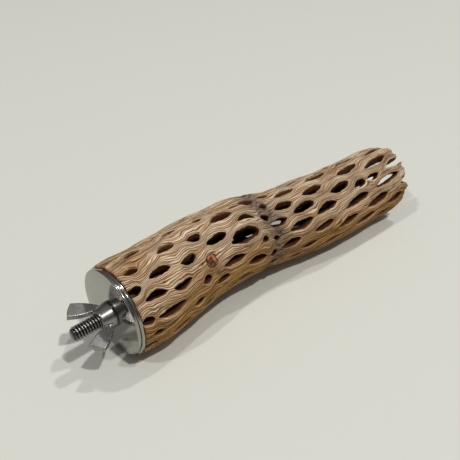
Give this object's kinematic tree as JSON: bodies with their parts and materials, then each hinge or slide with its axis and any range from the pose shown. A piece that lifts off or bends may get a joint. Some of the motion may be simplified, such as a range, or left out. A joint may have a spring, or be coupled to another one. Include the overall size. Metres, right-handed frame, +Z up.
{
  "type": "cholla cactus skeleton perch",
  "caption": "Hollow dry cholla cactus stem, a net of woody strands around lens-shaped holes, with a plugged end, hanger bolt, wide washers and wing nut for use as a perch.",
  "frame": {"origin": "middle of the bounding box on the surface that the perch lies on", "axes": "+X along the bolt's axis from the bolt's tip towards the broken end, +Z up"},
  "size_m": [0.2, 0.0506, 0.0423],
  "materials": {
    "cholla_wood": "dry, weathered, fibrous",
    "plug_wood": "raw dowel",
    "zinc_steel": "bright plated",
    "polished_steel": "mirror polished"
  },
  "bodies": {
    "perch": {"cholla_skeleton": "cholla_wood", "end_plug": "plug_wood", "hanger_bolt": "zinc_steel", "inner_washer": "polished_steel"},
    "outer_washer": {"outer_washer": "polished_steel"},
    "wing_nut": {"wing_nut": "zinc_steel"}
  },
  "joints": [
    {"name": "washer_slide", "type": "slide", "parent": "perch", "child": "outer_washer", "axis": [-1, 0, 0], "range_m": [0, 0.0115]},
    {"name": "nut_turn", "type": "hinge", "parent": "outer_washer", "child": "wing_nut", "pos_m": [-0.0816, 0.00241, 0.0202], "axis": [-1, 0, 0], "range_deg": [0, 3240]}
  ],
  "couplings": [
    {"joint": "washer_slide", "follows": "nut_turn", "m_per_rad": 0.00020213}
  ]
}
